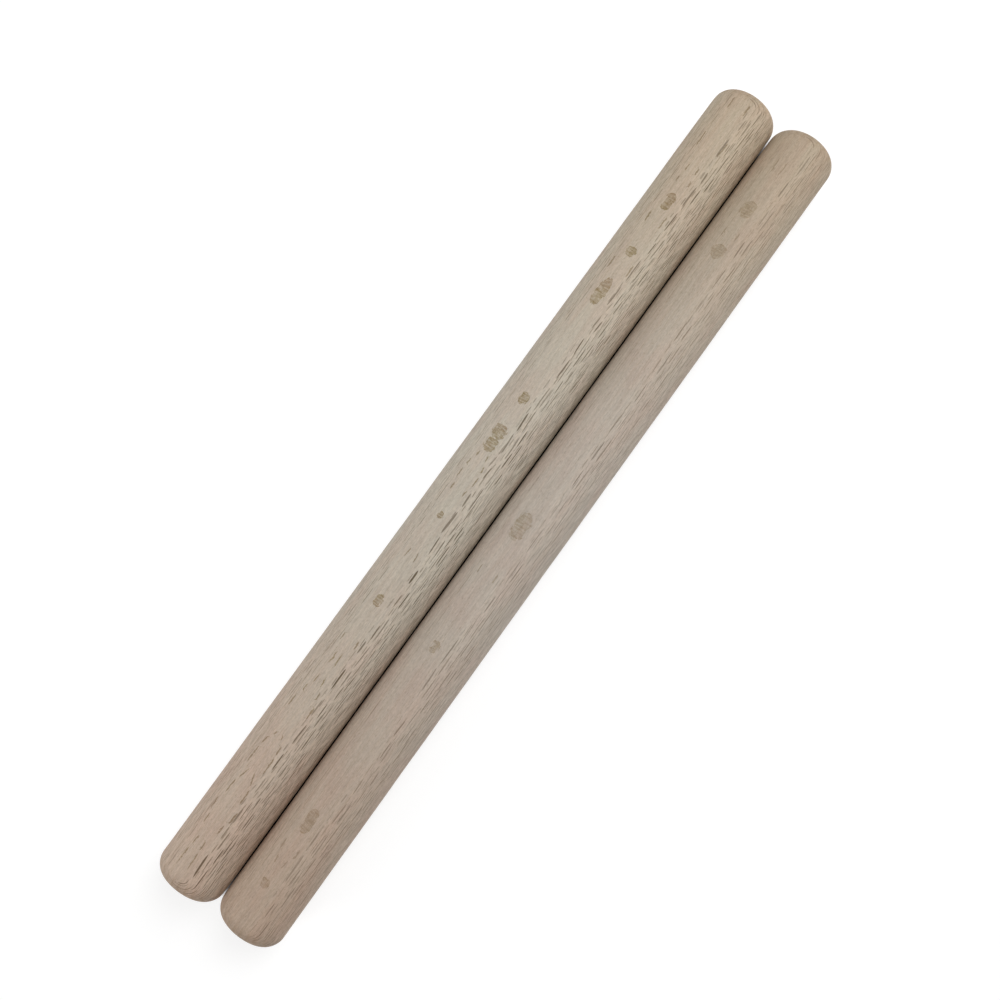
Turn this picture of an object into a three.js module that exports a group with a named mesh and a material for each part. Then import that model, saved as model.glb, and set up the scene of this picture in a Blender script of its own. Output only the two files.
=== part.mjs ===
// A pair of claves: two solid hardwood dowels with rounded-over ends, lying side by side.
// Millimetres. +X runs along the sticks, +Y points from the striking clave to the held clave,
// and +Z is up. The origin is on the surface they lie on, midway between them.

import * as THREE from 'three';

// Driving dimensions
const LENGTH = 300; // overall, tip to tip
const DIAMETER = 22; // of the turned dowel
const ROUND_OVER_RADIUS = 5.5; // where the side turns into the end
const END_DOME_RADIUS = 40; // the shallow crown that closes each end
const GAP = 0.4; // between the two sticks where they lie nearest

// Facets
const SIDES = 32; // a multiple of 4, so that flats face up, down and to both sides
const ROUND_OVER_STEPS = 6;
const END_DOME_STEPS = 2;

const RADIUS = DIAMETER / 2;

// Points on a circle whose centre lies on the y axis or beside it, at angles from the y axis.
function arc(centreX, centreY, radius, startAngle, endAngle, steps) {
  const points = [];
  for (let step = 0; step <= steps; step++) {
    const angle = THREE.MathUtils.lerp(startAngle, endAngle, step / steps);
    const x = centreX + radius * Math.sin(angle);
    const y = centreY + radius * Math.cos(angle);
    points.push(new THREE.Vector2(x, y));
  }
  return points;
}

// The outline of one end, from its tip to where the straight side begins: x is the distance
// from the stick's axis and y the distance along it. The dome's circle is centred on the axis,
// and the round-over's circle touches it from inside.
function endOutline() {
  const roundOverX = RADIUS - ROUND_OVER_RADIUS;
  const betweenCentres = END_DOME_RADIUS - ROUND_OVER_RADIUS;
  const touchAngle = Math.asin(roundOverX / betweenCentres);
  const domeY = LENGTH / 2 - END_DOME_RADIUS;
  const roundOverY = domeY + betweenCentres * Math.cos(touchAngle);
  const dome = arc(0, domeY, END_DOME_RADIUS, 0, touchAngle, END_DOME_STEPS);
  const roundOver = arc(
    roundOverX, roundOverY, ROUND_OVER_RADIUS, touchAngle, Math.PI / 2, ROUND_OVER_STEPS,
  );
  return [...dome, ...roundOver.slice(1)];
}

// A stick as a solid of revolution about X. Its corners stand just outside the true round, so
// that the middle of every flat touches it and one flat lies on the surface below.
function stickGeometry() {
  const halfFlat = Math.PI / SIDES;
  const cornerScale = 1 / Math.cos(halfFlat);
  const farEnd = endOutline().map(({ x, y }) => new THREE.Vector2(x * cornerScale, y));
  const nearEnd = farEnd.map(({ x, y }) => new THREE.Vector2(x, -y));
  const outline = [...nearEnd, ...farEnd.reverse()];
  const geometry = new THREE.LatheGeometry(outline, SIDES, halfFlat);
  geometry.rotateZ(-Math.PI / 2);
  return geometry;
}

// One clave. side is 1 for the stick on +Y and -1 for the stick on -Y.
function clave(name, side, color) {
  const material = new THREE.MeshStandardMaterial({ color, roughness: 0.6, metalness: 0 });
  const stick = new THREE.Mesh(stickGeometry(), material);
  stick.name = name;
  stick.position.set(0, side * (RADIUS + GAP / 2), RADIUS);
  return stick;
}

const claves = new THREE.Group();
claves.add(clave('held_clave', 1, '#b8a993'));
claves.add(clave('striking_clave', -1, '#b2a28d'));

export default claves;
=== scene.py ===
"""Two beech claves lying side by side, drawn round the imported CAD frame.

Lengths are metres in the frame (+X along the sticks, +Z up), except inside the wood material and
the lists that feed it, which count in millimetres because that is the scale of wood figure.
"""

import math
from collections import namedtuple

import bpy
import numpy as np
from mathutils import Matrix, Vector


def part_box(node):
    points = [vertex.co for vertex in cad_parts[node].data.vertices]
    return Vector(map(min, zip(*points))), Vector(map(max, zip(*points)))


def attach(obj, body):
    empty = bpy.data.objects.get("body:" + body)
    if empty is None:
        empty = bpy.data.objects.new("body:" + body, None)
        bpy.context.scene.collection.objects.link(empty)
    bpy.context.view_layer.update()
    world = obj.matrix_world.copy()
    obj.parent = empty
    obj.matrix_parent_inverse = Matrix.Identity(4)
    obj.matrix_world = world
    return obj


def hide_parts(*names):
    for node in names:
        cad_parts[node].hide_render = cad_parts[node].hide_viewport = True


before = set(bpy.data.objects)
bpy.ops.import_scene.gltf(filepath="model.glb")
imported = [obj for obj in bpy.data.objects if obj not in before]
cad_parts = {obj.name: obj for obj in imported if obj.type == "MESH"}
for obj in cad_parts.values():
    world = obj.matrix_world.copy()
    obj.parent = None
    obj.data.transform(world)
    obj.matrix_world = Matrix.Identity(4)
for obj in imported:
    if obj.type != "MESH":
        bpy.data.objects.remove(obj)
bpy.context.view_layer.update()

MM = 0.001

# The turned sticks
ROUND_OVER_RADIUS = 5.5 * MM
END_DOME_RADIUS = 40 * MM
AROUND = 144  # vertices in each ring
RING_STEP = 0.55 * MM
UV_STRIPS = 2  # each stick is unrolled in this many lengths, one above the other
UV_MARGIN = 0.006

# How a stick's surface wanders from true, as a sum of waves: how many, the most that they can
# amount to together, and their lengths along the stick
Wander = namedtuple("Wander", "waves most shortest longest")
TURNED = Wander(7, 0.05 * MM, 14 * MM, 60 * MM)
SANDED = Wander(6, 0.12 * MM, 7 * MM, 20 * MM)
SANDED_LENGTH = 9 * MM  # of each end, worked by hand
SANDED_EASE = 4 * MM  # over which that comes in
MOST_LOBES = 3  # round the stick

# The camera, found by fitting the sticks' outline
CAMERA_AZIMUTH = -64.15
CAMERA_ELEVATION = 85.24
CAMERA_ROLL = 10.01
CAMERA_DISTANCE = 0.363
CAMERA_PAN = (-0.0015, 0.00245)
CAMERA_LENS = 40.96
NEAREST_SEEN = 10 * MM

# The studio
FLOOR_HALF_SIZE = 3.0
FLOOR_GLOW = 0.79  # how brightly the table top glows, a painted light as if it were lit, except where something stands close over it, where the glow is cut away as painted shade
# the floor's own paleness, which painted shade takes down to black close under and between the sticks
FLOOR_PALENESS = 0.3
# how far over the floor something counts as close, for the floor's painted shade
CLOSE_OVER = 25 * MM
WORLD_LIGHT = 0.1  # the room's own light, though the camera sees it nearly as pale as the floor
LAMP_SIZE = 0.6
LAMPS = {
    "over_far_end": ((0.5, 0, 0.8), 5.7),
    "beside_held": ((-0.9, 0.5, 0.5), 5.3),
    "beside_striking": ((0.9, -0.6, 0.5), 2.5),
}


# ---------------------------------------------------------------- wood figure

# A ray is a thin plate of cells in the wood, standing along the grain and radially. Where a stick's
# surface runs along the plates, each one near it shows as a patch, or as two rows of dashes where
# it lies just under the surface. All in millimetres: x is the plate's middle, thick is half a
# patch's thickness, and near and far are how far each row lies from the band's middle line at its
# near and far ends.
Patch = namedtuple("Patch", "x half_length thick")
Rows = namedtuple("Rows", "x half_length near far")
ROW_HALF_WIDTH = 0.26

HELD_PATCHES = (
    Patch(-45.9, 2.1, 0.07),
    Patch(-14.6, 1.3, 0.05),
    Patch(11.5, 2.3, 0.15),
    Patch(16.3, 2.4, 0.19),
    Patch(28.9, 2.2, 0.13),
    Patch(69.6, 5.0, 0.12),
    Patch(85.0, 1.8, 0.13),
    Patch(104.4, 3.3, 0.11),
)
HELD_ROWS = (
    Rows(-138.6, 3.0, 2.0, 1.9),
    Rows(-133.3, 1.8, 1.7, 1.5),
    Rows(-126.6, 1.8, 2.9, 3.0),
    Rows(-122.0, 2.2, 3.9, 4.1),
    Rows(-115.1, 2.7, 3.0, 2.8),
    Rows(-109.6, 2.2, 2.3, 0.9),
    Rows(-103.9, 3.1, 3.2, 3.1),
    Rows(-98.5, 1.7, 3.0, 2.6),
    Rows(-95.1, 1.0, 1.5, 1.2),
    Rows(-84.4, 2.4, 3.7, 3.6),
    Rows(-79.3, 1.5, 2.6, 2.4),
    Rows(-75.2, 1.8, 1.3, 1.2),
    Rows(-67.2, 2.4, 1.3, 1.1),
    Rows(-60.6, 1.6, 2.7, 2.7),
    Rows(-29.2, 1.9, 1.7, 1.3),
    Rows(-5.2, 1.4, 2.3, 2.5),
    Rows(-0.6, 1.9, 3.0, 3.1),
    Rows(3.6, 1.4, 2.9, 2.6),
    Rows(7.2, 1.2, 1.8, 1.6),
    Rows(79.4, 2.5, 3.4, 3.4),
    Rows(97.7, 2.5, 2.7, 2.8),
    Rows(112.4, 1.3, 2.1, 2.2),
    Rows(117.1, 1.6, 1.6, 1.6),
    Rows(127.5, 3.0, 3.9, 4.2),
    Rows(142.2, 2.4, 2.9, 2.9),
)
STRIKING_PATCHES = (
    Patch(-131.4, 1.6, 0.07),
    Patch(-109.7, 4.2, 0.11),
    Patch(-47.3, 2.3, 0.11),
    Patch(-3.4, 4.7, 0.24),
    Patch(100.8, 2.5, 0.20),
    Patch(117.0, 3.2, 0.20),
)
STRIKING_ROWS = (
    Rows(-123.9, 1.6, 1.5, 1.9),
    Rows(-119.5, 2.0, 2.8, 2.8),
    Rows(-20.6, 1.8, 3.1, 3.0),
    Rows(107.5, 1.9, 2.3, 2.3),
    Rows(133.8, 3.0, 1.4, 1.5),
)

# How a stick was cut from its board. Its rays run along the surface at tilt degrees from straight
# up, towards +Y, and that line sways to both sides along the stick. start is its place in the
# board, pitch the usual distance between its rays along and across the grain, and clear how deep
# the plates lie where they first show as dashes, all in millimetres. contrast is how strongly its
# dashes show, and fleck_contrast its patches and rows. tones are its colours at the near end, in the
# middle and at the far end.
Cut = namedtuple("Cut", "tilt sway start pitch clear contrast fleck_contrast patches rows tones")

CUTS = {
    "held_clave": Cut(
        tilt=14.6,
        sway=(2.1, 190.0, 0.013),
        start=(0.0, 0.0, 0.0),
        pitch=(9.5, 0.55),
        clear=0.45,
        contrast=1.0,
        fleck_contrast=1.0,
        patches=HELD_PATCHES,
        rows=HELD_ROWS,
        tones=((0.555, 0.436, 0.344), (0.555, 0.500, 0.418), (0.512, 0.424, 0.316)),
    ),
    "striking_clave": Cut(
        tilt=18.0,
        sway=(1.8, 420.0, 0.0),
        start=(410.0, 37.0, 23.0),
        pitch=(11.0, 0.66),
        clear=0.75,
        contrast=0.7,
        fleck_contrast=0.65,
        patches=STRIKING_PATCHES,
        rows=STRIKING_ROWS,
        tones=((0.494, 0.384, 0.297), (0.514, 0.453, 0.387), (0.466, 0.381, 0.283)),
    ),
}


# ---------------------------------------------------------------- shader arithmetic


class Field:
    """A number at each point of a surface, which ordinary arithmetic turns into Math nodes."""

    def __init__(self, tree, socket):
        self.tree = tree
        self.socket = socket

    def math(self, operation, *others, clamp=False):
        node = self.tree.nodes.new("ShaderNodeMath")
        node.operation = operation
        node.use_clamp = clamp
        for slot, value in zip(node.inputs, (self, *others)):
            feed(self.tree, slot, value)
        return Field(self.tree, node.outputs[0])

    def __add__(self, other):
        return self.math("ADD", other)

    def __sub__(self, other):
        return self.math("SUBTRACT", other)

    def __rsub__(self, other):
        return self.math("MULTIPLY", -1.0).math("ADD", other)

    def __mul__(self, other):
        return self.math("MULTIPLY", other)

    def __truediv__(self, other):
        return self.math("DIVIDE", other)

    def __abs__(self):
        return self.math("ABSOLUTE")

    __radd__ = __add__
    __rmul__ = __mul__

    def rise(self, low, high):
        """0 below low, 1 above high, and smooth between them. low may be the larger."""
        node = self.tree.nodes.new("ShaderNodeMapRange")
        node.interpolation_type = "SMOOTHSTEP"
        feed(self.tree, node.inputs["Value"], self)
        feed(self.tree, node.inputs["From Min"], low)
        feed(self.tree, node.inputs["From Max"], high)
        return Field(self.tree, node.outputs["Result"])


def feed(tree, slot, value):
    """Gives a node's input a constant, a colour or another node's output."""
    if isinstance(value, Field):
        tree.links.new(value.socket, slot)
    else:
        slot.default_value = value


def split(tree, vector):
    node = tree.nodes.new("ShaderNodeSeparateXYZ")
    feed(tree, node.inputs[0], vector)
    return [Field(tree, out) for out in node.outputs]


def join(tree, x, y, z):
    node = tree.nodes.new("ShaderNodeCombineXYZ")
    for slot, value in zip(node.inputs, (x, y, z)):
        feed(tree, slot, value)
    return Field(tree, node.outputs[0])


def noise(tree, x, y, z, detail=2.0, roughness=0.5):
    """Perlin noise from about -1 to 1, for coordinates already divided by its grain size."""
    node = tree.nodes.new("ShaderNodeTexNoise")
    node.inputs["Scale"].default_value = 1.0
    node.inputs["Detail"].default_value = detail
    node.inputs["Roughness"].default_value = roughness
    feed(tree, node.inputs["Vector"], join(tree, x, y, z))
    return Field(tree, node.outputs["Fac"]) * 2.0 - 1.0


def random(tree, x, y):
    """Three random numbers from 0 to 1 for each pair of whole numbers, as a colour."""
    node = tree.nodes.new("ShaderNodeTexWhiteNoise")
    node.noise_dimensions = "3D"
    feed(tree, node.inputs["Vector"], join(tree, x, y, 0.5))
    return Field(tree, node.outputs["Color"])


def blend(tree, amount, first, second):
    """first where amount is 0 and second where it is 1. Both are colours."""
    node = tree.nodes.new("ShaderNodeMix")
    node.data_type = "RGBA"
    feed(tree, node.inputs["Factor"], amount)
    for slot, colour in zip(node.inputs[6:8], (first, second)):
        feed(tree, slot, colour if isinstance(colour, Field) else (*colour, 1.0))
    return Field(tree, node.outputs[2])


def blend_value(first, second, amount):
    """first where amount is 0 and second where it is 1. Both are numbers."""
    return (second - first) * amount + first


def tint(tree, colour, amount, towards):
    """colour multiplied by the colour towards, by amount."""
    node = tree.nodes.new("ShaderNodeMix")
    node.data_type = "RGBA"
    node.blend_type = "MULTIPLY"
    feed(tree, node.inputs["Factor"], amount)
    feed(tree, node.inputs[6], colour)
    feed(tree, node.inputs[7], towards if isinstance(towards, Field) else (*towards, 1.0))
    return Field(tree, node.outputs[2])


def attribute(tree, name):
    """A number that the mesh holds for each of its points."""
    node = tree.nodes.new("ShaderNodeAttribute")
    node.attribute_name = name
    return Field(tree, node.outputs["Fac"])


# ---------------------------------------------------------------- beech

PITH_DISTANCE = 75.0  # from the stick's axis to the middle of the tree
RING_WIDTH = 2.3
OTHER_SIDE = 57.3  # how far the pattern of rays is shifted beyond the clear band
SHORT_RAYS = 91.0  # how far the pattern of shorter rays is from the pattern of long ones
ROUGHNESS = 0.68
GLOSS = 0.22
BUMP = 0.03  # the depth of an open fibre

# Noise that the wood is shaded with: the length of its grains and their width each way, and how
# much it lightens and darkens
Grain = namedtuple("Grain", "size weight")
FIBRE = Grain((8.0, 0.26, 0.26), 0.23)
SHORT_FIBRE = Grain((1.8, 0.32, 0.32), 0.17)
MOTTLE = Grain((1.0, 0.42, 0.42), 0.17)
STREAK = Grain((22.0, 0.9, 0.9), 0.08)
CLOUD = Grain((26.0, 6.0, 6.0), 0.05)
PALER_SIDE_AND_PAINTED_LIGHT = 0.13  # how much lighter the side towards the pith is, partly as the wood's own paler face there and partly as painted light that lifts that side where the lamps leave it dim

# The grain sizes of the noise that shapes and places other marks
CURL = (38.0, 14.0, 9.0)
RAY_BULGES = (1.3, 0.95, 9.0)
RAY_FRAYING = (0.8, 0.35, 0.35)
RAY_BARS = (0.45, 2.5, 9.0)
PORES = (0.8, 0.17, 0.17)
BLUSHES = (19.0, 5.0, 5.0)
FLECK_HUE_LENGTH = 13.0

# What the wood's colour is multiplied by, in each kind of mark
OLIVE_FLECK_TINT = (0.55, 0.50, 0.32)
BROWN_FLECK_TINT = (0.55, 0.46, 0.33)
DASH_TINT = (0.27, 0.24, 0.19)
RING_TINT = (0.86, 0.80, 0.72)
PORE_TINT = (0.72, 0.68, 0.63)
END_TINT = (0.79, 0.75, 0.70)
PINK_TINT = (1.0, 0.95, 0.945)

# Where the points of a stick lie in the wood, in millimetres: x along the stick, depth below the
# clear band, across the rays and ring from the pith. board is the place in the board, lean goes
# from 0 in the clear band to 1 at the stick's sides, and beyond is 1 on the side towards the bark.
Place = namedtuple("Place", "x depth across ring board lean beyond")


def place_in_wood(tree, cut, centre, radius):
    """The Place of every point of a stick whose middle is at centre."""
    place = tree.nodes.new("ShaderNodeTexCoord").outputs["Object"]
    x, y, z = (axis / MM for axis in split(tree, Field(tree, place)))
    y = y - centre.y / MM
    z = z - centre.z / MM
    sway, wave, phase = cut.sway
    slope = (x * (2 * math.pi / wave) + phase).math("SINE") * math.radians(sway)
    slope = slope + math.radians(cut.tilt)
    sine = slope.math("SINE")
    cosine = slope.math("COSINE")
    outward = y * sine + z * cosine
    aside = y * cosine - z * sine
    from_pith = aside + PITH_DISTANCE
    start_x, start_y, start_z = cut.start
    board = (x + start_x, from_pith + start_y, outward + start_z)
    wander = figure(tree, board, CURL)
    return Place(
        x=x,
        depth=radius / MM - outward,
        across=outward * PITH_DISTANCE / from_pith + wander * 0.35 + start_z,
        ring=(from_pith * from_pith + outward * outward).math("SQRT") + wander * 1.2,
        board=board,
        lean=abs(aside) / (radius / MM),
        beyond=aside.math("GREATER_THAN", 0.0),
    )


def scaled(board, size):
    return [place / grain for place, grain in zip(board, size)]


def figure(tree, board, size, detail=2.0, roughness=0.5):
    """Noise through the board. size is its grains' length, and their width each way."""
    return noise(tree, *scaled(board, size), detail, roughness)


def late_wood(tree, place, end):
    """The darker wood that each year ends with."""
    waver = noise(tree, place.board[0] / 60.0, place.ring / 5.0, 0.0) * 0.3
    year = (place.ring / RING_WIDTH + waver).math("FRACT")
    return year.rise(0.35, 0.92) * year.rise(1.0, 0.94) * (end * 0.6 + 0.2)


def surface_rays(tree, place):
    """Rays in the clear band, which lie along the surface: how strongly each shows, and whether it
    is buried, so that it shows as rows and not as a patch."""
    cell = tree.nodes.new("ShaderNodeTexVoronoi")
    cell.inputs["Scale"].default_value = 1.0
    feed(tree, cell.inputs["Vector"], join(tree, *scaled(place.board, RAY_BULGES)))
    bulge = split(tree, Field(tree, cell.outputs["Color"]))[0] - 0.5
    ring_mark = abs(Field(tree, cell.outputs["Distance"]) - 0.36).rise(0.14, 0.05)
    frayed = figure(tree, place.board, RAY_FRAYING)
    bars = figure(tree, place.board, RAY_BARS).rise(-0.25, 0.3)
    plate = attribute(tree, "ray_depth")
    buried = plate.rise(0.02, 0.12)
    half_thick = attribute(tree, "ray_half_thickness")
    shift = half_thick * (bulge * 0.9 + frayed * 0.4)
    inside = half_thick * (buried * frayed * 0.8 + 1.0) - abs(place.depth - plate + shift)
    rim = inside.rise(0.05, 0.012)
    patch = bars * 0.5 + rim * 0.25 + ring_mark * 0.2 + frayed * 0.2 + 0.33
    row = frayed * 0.3 + 0.75
    return inside.rise(0.0, 0.02) * blend_value(patch, row, buried), buried


def scattered_rays(tree, x, across, pitch, half_thick):
    """Spindle-shaped cuts through rays scattered through the wood, one in each cell of a brick
    pattern. pitch is the size of a brick along the grain and across it."""
    column = x / pitch[0]
    row = across / pitch[1]
    row_number = row.math("FLOOR")
    column = column + split(tree, random(tree, row_number, 0.0))[0]
    column_number = column.math("FLOOR")
    longer, aside, darker = split(tree, random(tree, row_number, column_number))
    forward, thicker, turned = split(tree, random(tree, column_number, row_number))
    half_length = longer * 0.24 + 0.24
    along = column - column_number - 0.5 + (forward - 0.5) * (1.0 - half_length * 2.0)
    off = row - row_number - 0.5 + (aside - 0.5) * 0.5 + along * (turned - 0.5) * 0.25
    along = along / half_length
    off = off * pitch[1] / (half_thick * (thicker * 0.7 + 0.65))
    inside = 1.0 - along * along * along * along - abs(off)
    return inside.rise(0.0, 0.5) * (darker * 0.5 + 0.5)


def end_on_rays(tree, place, cut):
    """Rays everywhere else, where the surface cuts across them."""
    x = place.board[0] + place.beyond * OTHER_SIDE
    thick = place.lean * 0.08 + 0.045
    long_dashes = scattered_rays(tree, x, place.across, cut.pitch, thick)
    pitch = (cut.pitch[0] * 0.5, cut.pitch[1] * 0.7)
    short_dashes = scattered_rays(tree, x + SHORT_RAYS, place.across, pitch, thick * 0.7)
    shown = place.depth.rise(cut.clear - 0.05, cut.clear + 0.1) * (1.0 - place.beyond * 0.45)
    return long_dashes.math("MAXIMUM", short_dashes * 0.6) * shown


def plain_wood(tree, place, cut, half_length, fibre, grain):
    """The colour of the wood between its marks, with painted light in part on the side towards the
    pith.
    """
    near_tone, middle_tone, far_tone = cut.tones
    tone = blend(tree, place.x.rise(-half_length, -10.0), near_tone, middle_tone)
    tone = blend(tree, place.x.rise(10.0, half_length), tone, far_tone)
    shade = fibre * FIBRE.weight + grain * SHORT_FIBRE.weight
    for layer in (MOTTLE, STREAK, CLOUD):
        shade = shade + figure(tree, place.board, layer.size) * layer.weight
    # partly painted light: the side towards the pith is lightened both as the wood's own paler face
    # and as light painted in where the lamps leave that side dim
    paler_and_painted_light = place.lean.rise(0.15, 0.55) * (1.0 - place.beyond)
    shade = shade + paler_and_painted_light * PALER_SIDE_AND_PAINTED_LIGHT + 1.0
    scale = tree.nodes.new("ShaderNodeVectorMath")
    scale.operation = "SCALE"
    feed(tree, scale.inputs[0], tone)
    feed(tree, scale.inputs["Scale"], shade)
    blush = figure(tree, place.board, BLUSHES).rise(-0.3, 0.4)
    return tint(tree, Field(tree, scale.outputs[0]), blush, PINK_TINT)


def beech(name, cut, centre, length, radius):
    """Beech, as a solid texture: growth rings round a distant pith, with rays running out from it."""
    material = bpy.data.materials.new(name)
    material.use_nodes = True
    tree = material.node_tree
    shader = tree.nodes["Principled BSDF"]

    place = place_in_wood(tree, cut, centre, radius)
    end = attribute(tree, "end_grain")
    fibre = figure(tree, place.board, FIBRE.size, detail=3.0, roughness=0.65)
    grain = figure(tree, place.board, SHORT_FIBRE.size)
    pore = figure(tree, place.board, PORES).rise(0.1, 0.5)
    dash = end_on_rays(tree, place, cut)
    fleck, buried = surface_rays(tree, place)
    fleck_hue = noise(tree, place.board[0] / FLECK_HUE_LENGTH, 0.0, cut.start[2]).rise(-0.3, 0.3)
    fleck_tint = blend(tree, fleck_hue, OLIVE_FLECK_TINT, BROWN_FLECK_TINT)
    fleck_tint = blend(tree, buried * 0.3, fleck_tint, DASH_TINT)

    tone = plain_wood(tree, place, cut, length / 2 / MM, fibre, grain)
    tone = tint(tree, tone, late_wood(tree, place, end), RING_TINT)
    tone = tint(tree, tone, pore * 0.8, PORE_TINT)
    tone = tint(tree, tone, dash * cut.contrast, DASH_TINT)
    tone = tint(tree, tone, fleck * cut.fleck_contrast, fleck_tint)
    tone = tint(tree, tone, end, END_TINT)
    feed(tree, shader.inputs["Base Color"], tone)

    feed(tree, shader.inputs["Roughness"], fibre * 0.05 + ROUGHNESS - fleck * 0.12)
    shader.inputs["Specular IOR Level"].default_value = GLOSS
    bump = tree.nodes.new("ShaderNodeBump")
    bump.inputs["Distance"].default_value = BUMP * MM
    feed(tree, bump.inputs["Height"], fibre * 0.35 + grain * 0.25 - dash * 0.8)
    tree.links.new(bump.outputs["Normal"], shader.inputs["Normal"])
    return material


# ---------------------------------------------------------------- the sticks


def end_profile(radius):
    """One end's outline from its tip to the straight side, as distances from the tip along the
    stick and from its axis. The dome's circle and the round-over's touch."""
    round_over_offset = radius - ROUND_OVER_RADIUS
    between_centres = END_DOME_RADIUS - ROUND_OVER_RADIUS
    touch = math.asin(round_over_offset / between_centres)
    round_over_depth = END_DOME_RADIUS - between_centres * math.cos(touch)
    dome = np.arange(0, touch, RING_STEP / END_DOME_RADIUS)
    turn = np.linspace(touch, math.pi / 2, round(ROUND_OVER_RADIUS * 1.4 / RING_STEP))
    along = np.concatenate([
        END_DOME_RADIUS * (1 - np.cos(dome)),
        round_over_depth - ROUND_OVER_RADIUS * np.cos(turn),
    ])
    away = np.concatenate([
        END_DOME_RADIUS * np.sin(dome),
        round_over_offset + ROUND_OVER_RADIUS * np.sin(turn),
    ])
    return along, away


def outline(length, radius):
    """The whole stick's outline from the near tip to the far tip."""
    along, away = end_profile(radius)
    straight = length - 2 * along[-1]
    steps = round(straight / RING_STEP)
    side = along[-1] + straight * np.arange(1, steps) / steps
    xs = np.concatenate([along, side, length - along[::-1]]) - length / 2
    rs = np.concatenate([away, np.full(len(side), radius), away[::-1]])
    return xs, rs


def unevenness(x, angle, rng, wander):
    """How far out each point of a stick's surface lies, the same each run."""
    total = np.zeros(np.broadcast(x, angle).shape)
    for _ in range(wander.waves):
        length = rng.uniform(wander.shortest, wander.longest)
        lobes = rng.integers(0, MOST_LOBES + 1)
        total = total + np.sin(2 * math.pi * (x / length + rng.random()) + lobes * angle)
    return total / wander.waves * wander.most


def stick_points(centre, length, radius, rng):
    """Rings of points round the stick, as an array of rings by points by three."""
    xs, rs = outline(length, radius)
    x = xs[:, None]
    angle = (2 * math.pi * np.arange(AROUND) / AROUND)[None, :] - math.pi / 2
    near_end = np.clip((abs(x) - length / 2 + SANDED_LENGTH) / SANDED_EASE, 0, 1)
    turned = unevenness(x, angle, rng, TURNED)
    sanded = unevenness(x, angle, rng, SANDED) * near_end
    away = rs[:, None] * (1 + (turned + sanded) / radius)
    points = np.empty((len(xs), AROUND, 3))
    points[..., 0] = x + centre.x
    points[..., 1] = away * np.cos(angle) + centre.y
    points[..., 2] = away * np.sin(angle) + centre.z
    return points, xs, rs


def stick_faces(rings):
    """Quads between neighbouring rings, and fans of triangles to the two tips, the last points."""
    faces = []
    for ring in range(rings - 1):
        for step in range(AROUND):
            after = (step + 1) % AROUND
            here = ring * AROUND
            above = here + AROUND
            faces.append((here + step, here + after, above + after, above + step))
    near_tip = rings * AROUND
    far_tip = near_tip + 1
    last = near_tip - AROUND
    for step in range(AROUND):
        after = (step + 1) % AROUND
        faces.append((near_tip, after, step))
        faces.append((far_tip, last + step, last + after))
    return faces


def unrolled(mesh, arc, rings):
    """Lays the surface out flat in strips, one above the other, so that a map of it is evenly
    fine. arc is how far along the outline each ring is, from 0 to 1, and ends with the two tips."""
    layer = mesh.uv_layers.new(name="OFBake")
    corners = np.empty(len(mesh.loops), np.int32)
    mesh.loops.foreach_get("vertex_index", corners)
    starts = np.empty(len(mesh.polygons), np.int32)
    mesh.polygons.foreach_get("loop_start", starts)
    face = np.searchsorted(starts, np.arange(len(corners)), side="right") - 1
    along = arc[np.minimum(corners // AROUND, rings) + (corners == rings * AROUND + 1)]
    turn = (corners % AROUND) / AROUND
    tip = corners >= rings * AROUND
    first = np.minimum.reduceat(np.where(tip, 2.0, turn), starts)[face]
    last = np.maximum.reduceat(np.where(tip, -1.0, turn), starts)[face]
    wraps = last - first > 0.5
    turn = np.where(wraps & (turn < 0.5), turn + 1, turn)
    turn = np.where(tip, np.where(wraps, last, first), turn)
    middle = np.add.reduceat(along, starts) / np.diff(np.append(starts, len(corners)))
    strip = np.minimum((middle[face] * UV_STRIPS).astype(int), UV_STRIPS - 1)
    u = (along * UV_STRIPS - strip) * (1 - 2 * UV_MARGIN) + UV_MARGIN
    v = (turn * (1 - 2 * UV_MARGIN * UV_STRIPS) + UV_MARGIN * UV_STRIPS + strip) / UV_STRIPS
    layer.data.foreach_set("uv", np.stack([u, v], -1).astype(np.float32).ravel())


def store(mesh, name, values):
    """Keeps a number for each point of a mesh, for attribute() to read."""
    layer = mesh.attributes.new(name, "FLOAT", "POINT")
    layer.data.foreach_set("value", np.asarray(values, np.float32))


def paint_rays(mesh, x, cut, radius):
    """For each point, the depth below the band of the ray plate that passes under it, and half
    that plate's thickness there, which is 0 beyond its ends."""
    half = np.zeros(len(x))
    depth = np.zeros(len(x))
    for patch in cut.patches:
        along = np.clip((x - patch.x) / patch.half_length, -1, 1)
        half = np.maximum(half, patch.thick * (1 - along ** 4))
    for rows in cut.rows:
        along = np.clip((x - rows.x) / rows.half_length, -1, 1)
        aside = (rows.near + (rows.far - rows.near) * (along + 1) / 2) / radius
        here = ROW_HALF_WIDTH * np.sin(aside) * (1 - along ** 4)
        nearest = here > half
        half = np.where(nearest, here, half)
        depth = np.where(nearest, radius * (1 - np.cos(aside)), depth)
    store(mesh, "ray_half_thickness", half)
    store(mesh, "ray_depth", depth)


def paint_ends(mesh):
    """How far each point faces along the grain."""
    normals = np.empty(len(mesh.vertices) * 3, np.float32)
    mesh.vertex_normals.foreach_get("vector", normals)
    store(mesh, "end_grain", np.abs(normals.reshape(-1, 3)[:, 0]))


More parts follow.
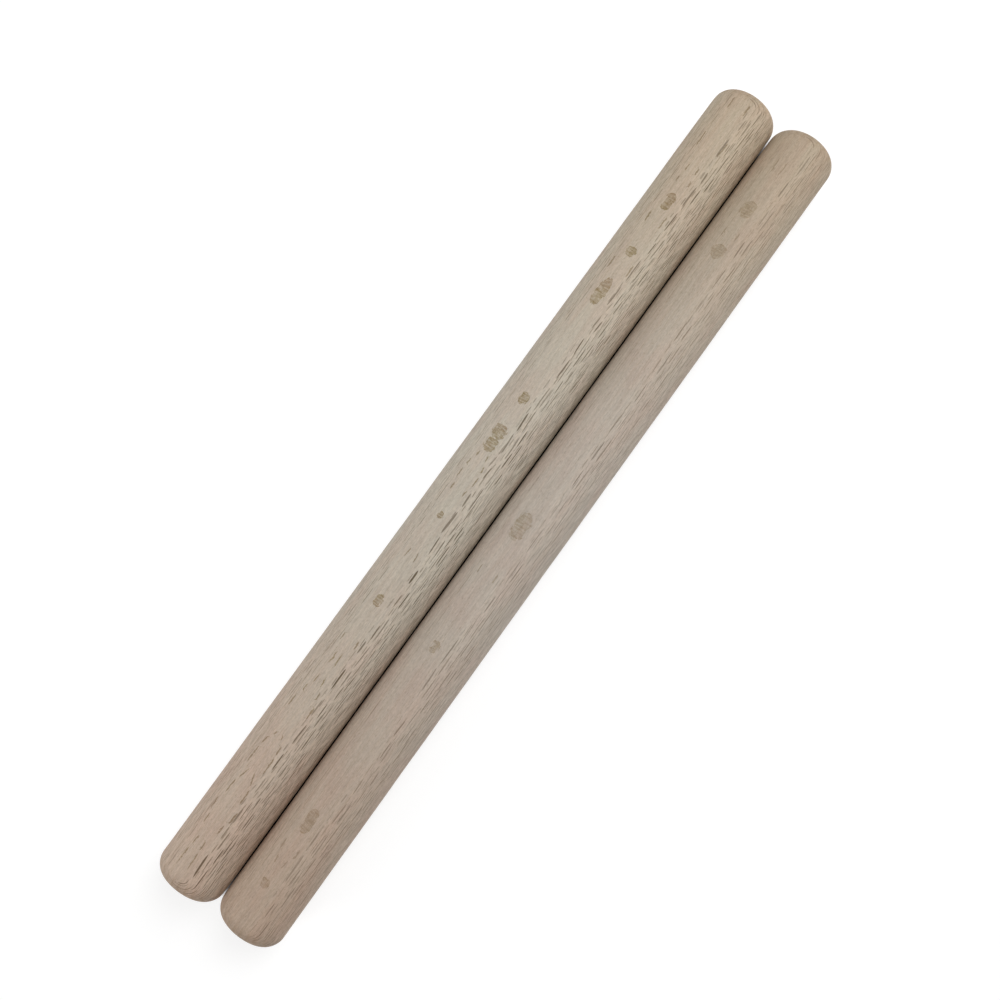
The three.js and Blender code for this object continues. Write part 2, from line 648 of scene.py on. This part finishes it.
def stick_mesh(name, centre, length, radius, cut, rng):
    """The stick's surface, with all that its material reads from it."""
    points, xs, rs = stick_points(centre, length, radius, rng)
    rings = len(xs) - 2  # the first and last have no radius: each is one point
    inner = points[1:-1].reshape(-1, 3)
    tips = points[[0, -1], 0]
    mesh = bpy.data.meshes.new(name)
    mesh.from_pydata(np.concatenate([inner, tips]).tolist(), [], stick_faces(rings))
    mesh.polygons.foreach_set("use_smooth", [True] * len(mesh.polygons))
    arc = np.concatenate([[0], np.cumsum(np.hypot(np.diff(xs), np.diff(rs)))])
    arc = arc / arc[-1]
    unrolled(mesh, np.concatenate([arc[1:-1], arc[[0, -1]]]), rings)
    ring_x = np.concatenate([np.repeat(xs[1:-1], AROUND), xs[[0, -1]]])
    paint_rays(mesh, ring_x / MM, cut, radius / MM)
    paint_ends(mesh)
    return mesh


def stick(name, node, body):
    """A finely made stick in the place of one CAD node."""
    low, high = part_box(node)
    centre = (low + high) / 2
    length = high.x - low.x
    radius = (high.z - low.z) / 2
    cut = CUTS[node]
    rng = np.random.default_rng(sum(map(ord, node)))
    mesh = stick_mesh(name, centre, length, radius, cut, rng)
    mesh.materials.append(beech(name + "_beech", cut, centre, length, radius))
    piece = bpy.data.objects.new(name, mesh)
    bpy.context.scene.collection.objects.link(piece)
    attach(piece, body)
    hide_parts(node)


# ---------------------------------------------------------------- floor, light and camera


def floor():
    """A pale table top. It glows as brightly as if it were lit all over, a painted light that makes
    it look white, and its glow and its colour darken as painted shade, only right under and between
    the sticks."""
    mesh = bpy.data.meshes.new("floor")
    size = FLOOR_HALF_SIZE
    corners = [(-size, -size, 0), (size, -size, 0), (size, size, 0), (-size, size, 0)]
    mesh.from_pydata(corners, [], [(0, 1, 2, 3)])
    piece = bpy.data.objects.new("floor", mesh)
    bpy.context.scene.collection.objects.link(piece)
    material = bpy.data.materials.new("pale_floor_painted_light_and_shade")
    material.use_nodes = True
    tree = material.node_tree
    shader = tree.nodes["Principled BSDF"]
    shader.inputs["Roughness"].default_value = 0.9
    shader.inputs["Specular IOR Level"].default_value = 0.1
    shader.inputs["Emission Color"].default_value = (1, 1, 1, 1)
    open_air = tree.nodes.new("ShaderNodeAmbientOcclusion")
    open_air.inputs["Distance"].default_value = CLOSE_OVER
    openness = Field(tree, open_air.outputs["AO"])
    # painted light and shade: the floor glows where it is open, and the glow fades out as painted
    # shade close under and between the sticks
    feed(tree, shader.inputs["Emission Strength"], openness.rise(0.38, 0.5) * FLOOR_GLOW)
    # painted shade: the floor's own colour darkens to black close under and between the sticks
    shade = openness.rise(0.05, 0.45) * FLOOR_PALENESS
    feed(tree, shader.inputs["Base Color"], join(tree, shade, shade, shade))
    mesh.materials.append(material)


def softbox(name, place, power):
    """A round lamp that faces the middle of the sticks."""
    light = bpy.data.lights.new(name, "AREA")
    light.shape = "DISK"
    light.size = LAMP_SIZE
    light.energy = power
    lamp = bpy.data.objects.new(name, light)
    lamp.location = place
    lamp.rotation_mode = "QUATERNION"
    lamp.rotation_quaternion = (-Vector(place)).to_track_quat("-Z", "Y")
    bpy.context.scene.collection.objects.link(lamp)


def studio():
    """Soft lamps in a dim room, which the camera sees nearly as pale as the floor."""
    world = bpy.data.worlds.new("studio")
    world.use_nodes = True
    tree = world.node_tree
    background = tree.nodes["Background"]
    background.inputs["Color"].default_value = (1, 1, 1, 1)
    seen = Field(tree, tree.nodes.new("ShaderNodeLightPath").outputs["Is Camera Ray"])
    feed(tree, background.inputs["Strength"], blend_value(WORLD_LIGHT, FLOOR_GLOW, seen))
    bpy.context.scene.world = world
    for name, (place, power) in LAMPS.items():
        softbox(name, place, power)
    bpy.context.scene.view_settings.view_transform = "Standard"


def camera():
    """A camera that circles the origin by the azimuth and elevation, leans by the roll, and is then
    panned in its own picture plane."""
    azimuth = math.radians(CAMERA_AZIMUTH)
    elevation = math.radians(CAMERA_ELEVATION)
    roll = math.radians(CAMERA_ROLL)
    back = Vector((
        math.sin(azimuth) * math.cos(elevation),
        -math.cos(azimuth) * math.cos(elevation),
        math.sin(elevation),
    ))
    level = Vector((0, 0, 1)).cross(back).normalized()
    upright = back.cross(level)
    right = level * math.cos(roll) + upright * math.sin(roll)
    up = upright * math.cos(roll) - level * math.sin(roll)
    data = bpy.data.cameras.new("camera")
    data.lens = CAMERA_LENS
    data.clip_start = NEAREST_SEEN
    eye = bpy.data.objects.new("camera", data)
    place = back * CAMERA_DISTANCE + right * CAMERA_PAN[0] + up * CAMERA_PAN[1]
    turn = Matrix((right, up, back)).transposed()
    eye.matrix_world = Matrix.Translation(place) @ turn.to_4x4()
    bpy.context.scene.collection.objects.link(eye)
    bpy.context.scene.camera = eye


camera()
studio()
floor()
stick("held_stick", "held_clave", "held")
stick("striking_stick", "striking_clave", "striking")
